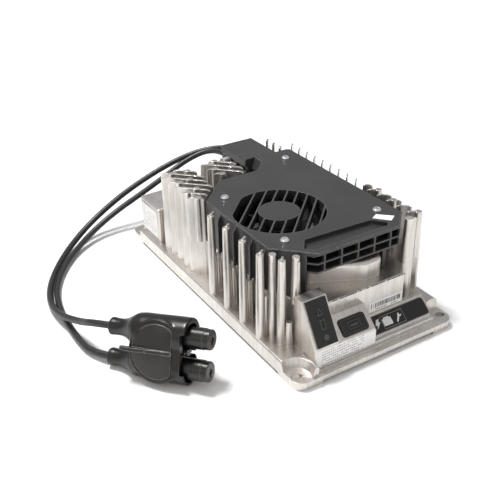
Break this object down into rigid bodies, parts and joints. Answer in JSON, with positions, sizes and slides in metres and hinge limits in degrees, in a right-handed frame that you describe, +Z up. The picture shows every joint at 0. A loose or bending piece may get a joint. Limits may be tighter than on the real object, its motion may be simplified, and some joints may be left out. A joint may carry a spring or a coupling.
{
  "type": "electric hydrofoil battery charger",
  "caption": "Fan-cooled battery charger with a finned cast housing, a plastic fan cover and two leads to a battery connector.",
  "frame": {"origin": "centre of the underside of the housing's footprint, at the plane that its ears stand on", "axes": "+X across the housing, -Y towards the end with the ports and the panel label, +Z up"},
  "size_m": [0.3159, 0.3703, 0.1035],
  "materials": {
    "cast_aluminium": "as-cast satin",
    "cover_plastic": "fine texture",
    "plug_rubber": "matte",
    "connector_plastic": "satin moulding",
    "grip_plastic": "satin moulding",
    "lead_jacket": "satin",
    "boot_rubber": "matte",
    "contact_metal": "bright plated",
    "zinc_steel": "zinc plated",
    "plate_metal": "rolled",
    "gasket_foam": "matte",
    "fan_frame_plastic": "satin",
    "fan_rotor_plastic": "satin",
    "bearing_bronze": "sintered",
    "stator_steel": "laminated",
    "overlay_film": "printed film",
    "label_film": "printed paper",
    "board_laminate": "solder mask",
    "ferrite": "sintered",
    "copper_wire": "enamelled",
    "can_sleeve": "shrink sleeve",
    "device_epoxy": "moulded",
    "relay_case": "moulded",
    "holder_plastic": "moulded",
    "fuse_ceramic": "ceramic",
    "terminal_brass": "turned"
  },
  "bodies": {
    "charger": {"heat_sink_housing": "cast_aluminium", "bottom_gasket": "gasket_foam", "bottom_plate": "plate_metal", "bottom_plate_screws": "zinc_steel", "fan_shroud": "cover_plastic", "shroud_screws": "zinc_steel", "terminal_cover": "cover_plastic", "terminal_block": "holder_plastic", "terminal_studs": "terminal_brass", "lead_boot_upper": "boot_rubber", "lead_boot_lower": "boot_rubber", "fan_frame": "fan_frame_plastic", "fan_bearing": "bearing_bronze", "fan_stator": "stator_steel", "fan_screws": "zinc_steel", "tall_port_plug": "plug_rubber", "square_port_plug": "plug_rubber", "service_port": "holder_plastic", "signal_port": "holder_plastic", "panel_label": "overlay_film", "front_label": "label_film", "code_label": "label_film", "small_sticker": "label_film", "rating_label": "label_film", "mains_inlet": "holder_plastic", "mains_pins": "terminal_brass", "inlet_screws": "zinc_steel", "main_board": "board_laminate", "board_screws": "zinc_steel", "transformer_core": "ferrite", "transformer_winding": "copper_wire", "boost_inductor": "copper_wire", "mains_filter_choke": "copper_wire", "bulk_capacitors": "can_sleeve", "output_capacitors": "can_sleeve", "power_devices": "device_epoxy", "clamp_bar": "plate_metal", "control_board": "board_laminate", "inrush_relay": "relay_case", "fuse_holder": "holder_plastic", "fuse_link": "fuse_ceramic", "connector_body": "connector_plastic", "connector_grip": "grip_plastic", "contact_sleeve_upper": "connector_plastic", "contact_sleeve_lower": "connector_plastic", "contact_socket_upper": "contact_metal", "contact_socket_lower": "contact_metal", "lead_upper": "lead_jacket", "lead_lower": "lead_jacket"},
    "rotor": {"fan_rotor": "fan_rotor_plastic", "fan_shaft": "zinc_steel"}
  },
  "joints": [
    {"name": "fan_spin", "type": "hinge", "parent": "charger", "child": "rotor", "pos_m": [-0.0227, -0.0395, 0.08], "axis": [0, 0, 1], "continuous": true}
  ]
}
